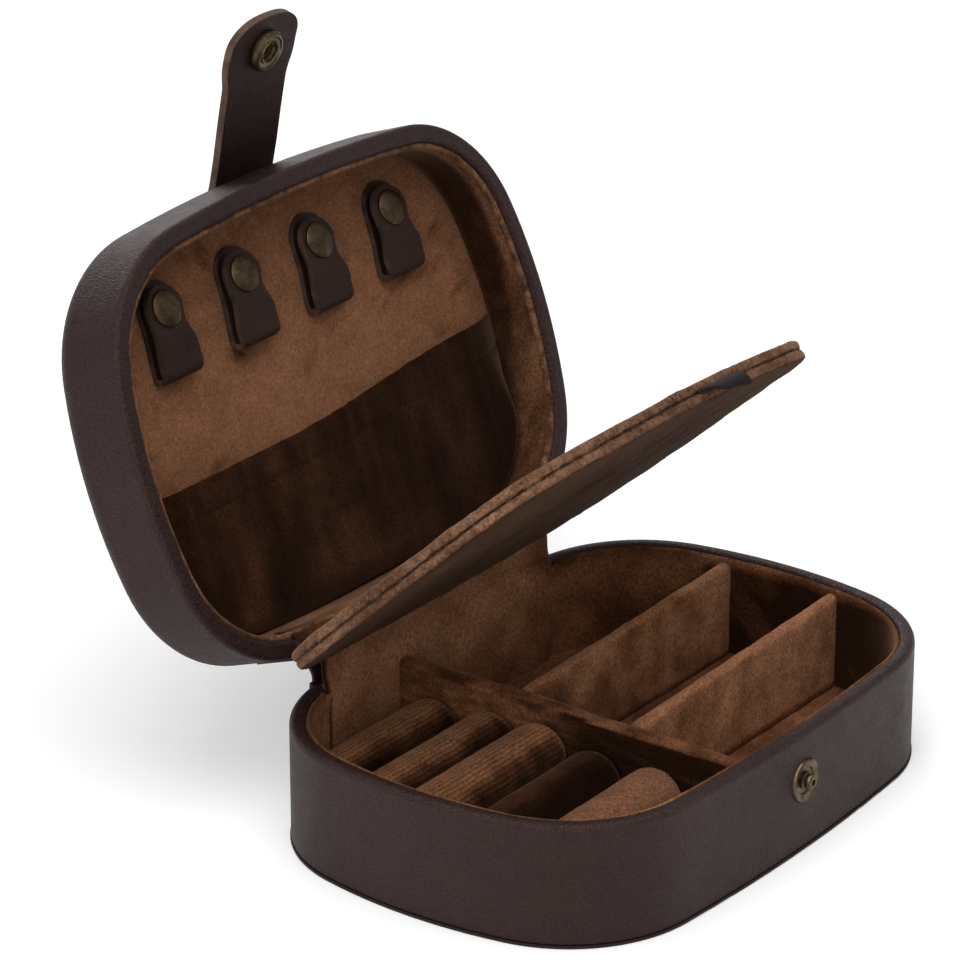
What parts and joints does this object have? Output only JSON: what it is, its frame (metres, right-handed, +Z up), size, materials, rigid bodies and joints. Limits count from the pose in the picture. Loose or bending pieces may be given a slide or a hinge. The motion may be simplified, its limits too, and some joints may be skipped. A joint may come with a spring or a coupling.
{
  "type": "travel jewelry box",
  "caption": "Dark brown leather travel jewelry box with rounded corners, standing open: velvet ring rolls, compartments, padded flap, lid with snap loops and pocket.",
  "frame": {"origin": "centre of the underside of the base, on the face it stands on", "axes": "+X along the hinge, towards the compartments with cross dividers; +Y from the snap to the hinge; +Z up"},
  "size_m": [0.1806, 0.1944, 0.1986],
  "materials": {
    "brown_leather": "satin",
    "strap_leather": "matte",
    "brown_velvet": "matte",
    "roll_velvet": "matte",
    "pocket_velvet": "matte",
    "seam_velvet": "matte",
    "black_ribbon": "satin",
    "grey_board": "matte",
    "antique_brass": "brushed",
    "spring_steel": "satin"
  },
  "bodies": {
    "base": {"base_bottom_cover": "brown_leather", "base_floor_board": "grey_board", "base_leather_wall": "brown_leather", "base_snap_post": "antique_brass", "base_snap_rivet_head": "antique_brass", "base_snap_washer": "antique_brass", "base_velvet_floor": "brown_velvet", "base_velvet_wall": "brown_velvet", "base_wall_board": "grey_board", "cross_divider_front": "brown_velvet", "cross_divider_rear": "brown_velvet", "leather_spine_base": "brown_leather", "leather_spine_fold": "brown_leather", "main_divider": "brown_velvet", "ring_roll_1": "roll_velvet", "ring_roll_2": "roll_velvet", "ring_roll_3": "roll_velvet", "ring_roll_4": "roll_velvet", "ring_roll_5": "roll_velvet", "velvet_hinge_base": "brown_velvet", "velvet_hinge_fold": "brown_velvet"},
    "lid": {"leather_spine_lid": "brown_leather", "lid_board_shell": "grey_board", "lid_leather_cover": "brown_leather", "lid_pocket": "pocket_velvet", "lid_pocket_hem": "pocket_velvet", "lid_velvet_bead": "seam_velvet", "lid_velvet_panel": "brown_velvet", "lid_velvet_wall": "brown_velvet", "loop_1_back_leaf": "strap_leather", "loop_1_fold": "strap_leather", "loop_2_back_leaf": "strap_leather", "loop_2_fold": "strap_leather", "loop_3_back_leaf": "strap_leather", "loop_3_fold": "strap_leather", "loop_4_back_leaf": "strap_leather", "loop_4_fold": "strap_leather", "loop_snap_studs": "antique_brass", "strap_root": "strap_leather", "velvet_hinge_lid": "brown_velvet"},
    "flap": {"flap_board": "grey_board", "flap_hinge_tab": "brown_velvet", "flap_lower_pad": "brown_velvet", "flap_ribbon_pull": "black_ribbon", "flap_upper_pad": "brown_velvet"},
    "strap": {"strap_end": "strap_leather", "strap_snap_cap": "antique_brass", "strap_snap_socket": "antique_brass", "strap_snap_spring": "spring_steel"},
    "loop_1": {"loop_1_cap": "antique_brass", "loop_1_front_leaf": "strap_leather"},
    "loop_2": {"loop_2_cap": "antique_brass", "loop_2_front_leaf": "strap_leather"},
    "loop_3": {"loop_3_cap": "antique_brass", "loop_3_front_leaf": "strap_leather"},
    "loop_4": {"loop_4_cap": "antique_brass", "loop_4_front_leaf": "strap_leather"}
  },
  "joints": [
    {"name": "lid_hinge", "type": "hinge", "parent": "base", "child": "lid", "pos_m": [0, 0.0645, 0.037], "axis": [1, 0, 0], "range_deg": [0, 110], "deforming": ["leather_spine_fold", "velvet_hinge_fold"]},
    {"name": "flap_hinge", "type": "hinge", "parent": "base", "child": "flap", "pos_m": [0, 0.0645, 0.0345], "axis": [1, 0, 0], "range_deg": [0, 42], "deforming": ["velvet_hinge_fold", "flap_ribbon_pull"]},
    {"name": "strap_bend", "type": "hinge", "parent": "lid", "child": "strap", "pos_m": [0, 0.12516, 0.15719], "axis": [1, 0, 0], "range_deg": [-90, 58]},
    {"name": "loop_1_bend", "type": "hinge", "parent": "lid", "child": "loop_1", "pos_m": [0, 0.10618, 0.11526], "axis": [1, 0, 0], "range_deg": [0, 170], "deforming": ["loop_1_fold"]},
    {"name": "loop_2_bend", "type": "hinge", "parent": "lid", "child": "loop_2", "pos_m": [0, 0.10618, 0.11526], "axis": [1, 0, 0], "range_deg": [0, 170], "deforming": ["loop_2_fold"]},
    {"name": "loop_3_bend", "type": "hinge", "parent": "lid", "child": "loop_3", "pos_m": [0, 0.10618, 0.11526], "axis": [1, 0, 0], "range_deg": [0, 170], "deforming": ["loop_3_fold"]},
    {"name": "loop_4_bend", "type": "hinge", "parent": "lid", "child": "loop_4", "pos_m": [0, 0.10618, 0.11526], "axis": [1, 0, 0], "range_deg": [0, 170], "deforming": ["loop_4_fold"]}
  ],
  "couplings": [
    {"joint": "flap_hinge", "follows": "lid_hinge", "ratio": 0.38182}
  ]
}
